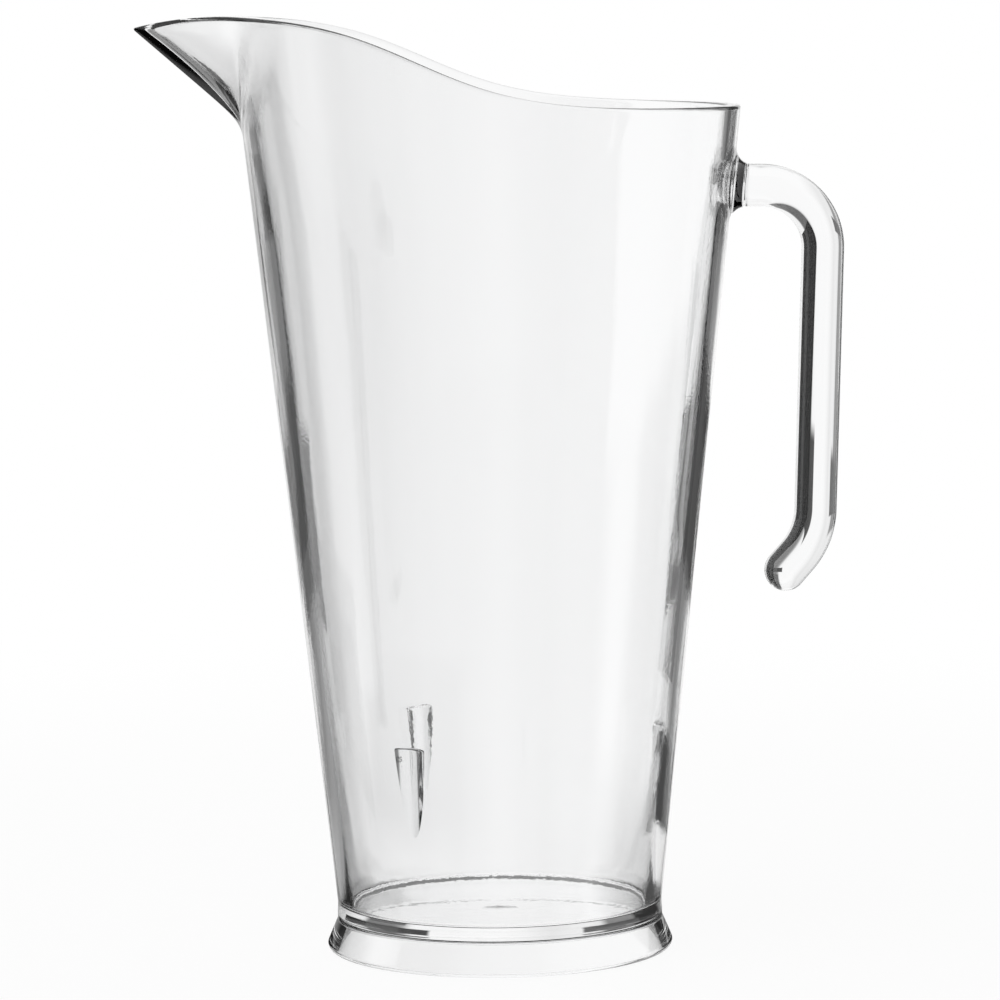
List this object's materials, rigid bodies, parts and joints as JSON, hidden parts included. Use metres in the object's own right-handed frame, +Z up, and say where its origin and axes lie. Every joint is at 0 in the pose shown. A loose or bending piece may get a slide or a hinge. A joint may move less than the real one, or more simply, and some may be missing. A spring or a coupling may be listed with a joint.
{
  "type": "cocktail pitcher",
  "caption": "Tall clear tapered pitcher with a pulled beak spout, swooping rim, flared foot ring and open hook handle, for mixing and pouring drinks.",
  "frame": {"origin": "centre of the foot ring on the plane that the pitcher stands on", "axes": "+Z up along the foot's axis, -X towards the spout, +X towards the handle"},
  "size_m": [0.2023, 0.1442, 0.2694],
  "materials": {
    "vessel": "clear polished polycarbonate",
    "floor": "clear polished polycarbonate",
    "foot": "clear polished polycarbonate",
    "handle": "clear polished polycarbonate",
    "lugs": "clear polished polycarbonate"
  },
  "bodies": {
    "root": {"vessel_body": "vessel", "floor_disc": "floor", "foot_ring": "foot", "handle": "handle", "stacking_lug_1": "lugs", "stacking_lug_2": "lugs", "stacking_lug_3": "lugs"}
  },
  "joints": []
}
